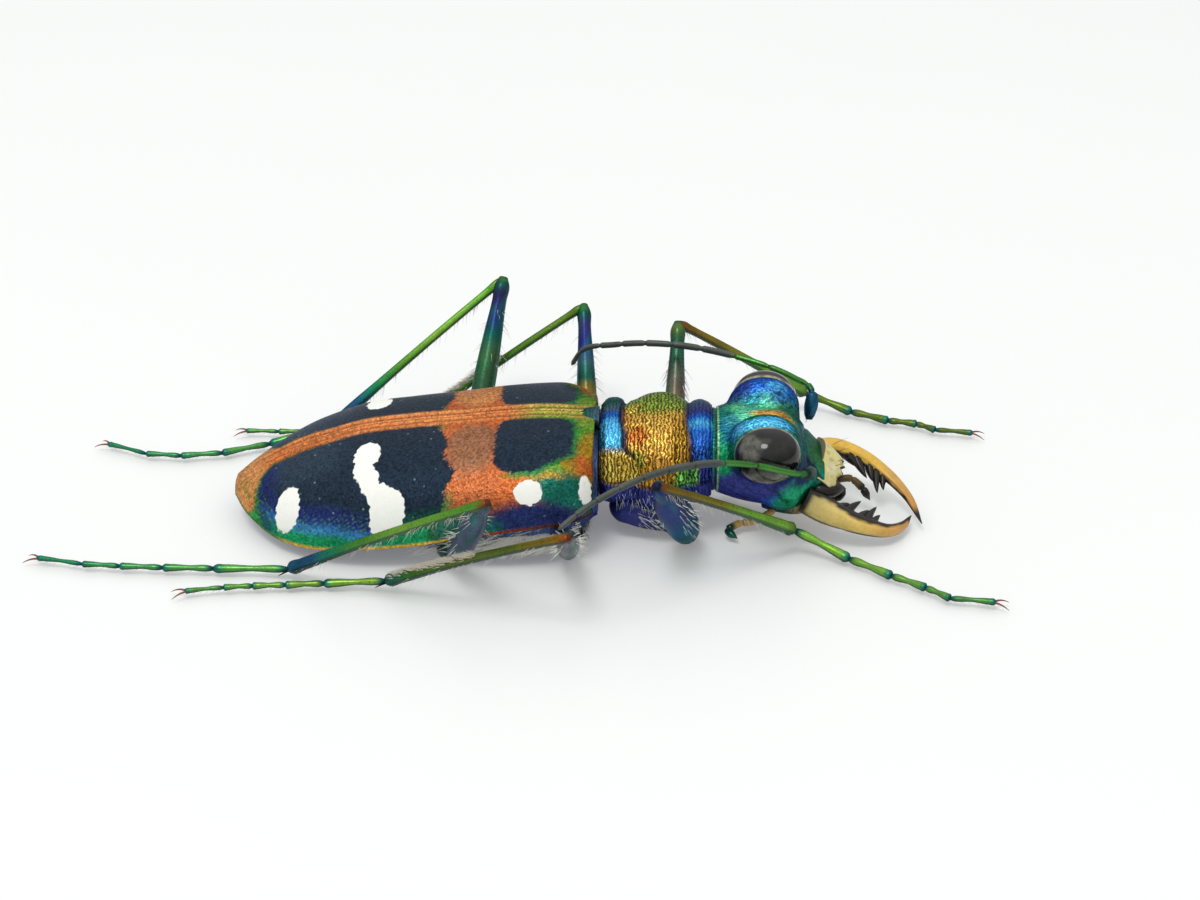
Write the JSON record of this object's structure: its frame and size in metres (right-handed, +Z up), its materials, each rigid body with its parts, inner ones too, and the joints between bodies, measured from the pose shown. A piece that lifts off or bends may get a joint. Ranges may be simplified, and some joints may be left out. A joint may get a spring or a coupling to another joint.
{
  "type": "tiger beetle specimen model",
  "caption": "Life-size still model of a set tiger beetle, lying on its belly and feet, with spread legs, swept-back feelers and crossed sickle jaws.",
  "frame": {"origin": "bottom centre of the model's bounding box, on the floor under the body", "axes": "+X towards the head, +Y towards the beetle's left side, +Z up"},
  "size_m": [0.0314, 0.0164, 0.0053],
  "materials": {
    "wing_cases": "velvety navy black with orange and ivory markings, green and blue edges",
    "eyes": "glossy dark grey",
    "ivory_mouth": "ivory to amber, dark teeth",
    "back_plate": "metallic copper with blue and green edges",
    "head_plate": "metallic blue-green with fine ridges",
    "feelers": "dark metallic green to dull grey",
    "palps": "dark green and tan",
    "lower_legs": "metallic green, gold lights",
    "upper_legs": "metallic blue-violet, green and copper ends",
    "underside": "dark metallic violet-blue with white hair"
  },
  "bodies": {
    "root": {"elytron_left": "wing_cases", "elytron_right": "wing_cases", "scutellum": "back_plate", "pterothorax": "underside", "abdomen": "underside", "pronotum": "back_plate", "prothorax_underside": "underside", "head": "head_plate", "labrum": "ivory_mouth", "labium": "palps", "eye_left": "eyes", "mandible_left": "ivory_mouth", "eye_right": "eyes", "mandible_right": "ivory_mouth", "maxillary_palp_left": "palps", "maxillary_palp_right": "palps", "labial_palp_left": "palps", "labial_palp_right": "palps", "antenna_left_scape": "feelers", "antenna_left_base": "feelers", "antenna_left_whip": "feelers", "antenna_right_scape": "feelers", "antenna_right_base": "feelers", "antenna_right_whip": "feelers", "coxa_fore_right": "upper_legs", "trochanter_fore_right": "upper_legs", "femur_fore_right": "upper_legs", "tibia_fore_right": "lower_legs", "tarsus_fore_right": "lower_legs", "coxa_fore_left": "upper_legs", "trochanter_fore_left": "upper_legs", "femur_fore_left": "upper_legs", "tibia_fore_left": "lower_legs", "tarsus_fore_left": "lower_legs", "coxa_mid_right": "upper_legs", "trochanter_mid_right": "upper_legs", "femur_mid_right": "upper_legs", "tibia_mid_right": "lower_legs", "tarsus_mid_right": "lower_legs", "coxa_mid_left": "upper_legs", "trochanter_mid_left": "upper_legs", "femur_mid_left": "upper_legs", "tibia_mid_left": "lower_legs", "tarsus_mid_left": "lower_legs", "coxa_hind_right": "upper_legs", "trochanter_hind_right": "upper_legs", "femur_hind_right": "upper_legs", "tibia_hind_right": "lower_legs", "tarsus_hind_right": "lower_legs", "coxa_hind_left": "upper_legs", "trochanter_hind_left": "upper_legs", "femur_hind_left": "upper_legs", "tibia_hind_left": "lower_legs", "tarsus_hind_left": "lower_legs"}
  },
  "joints": []
}
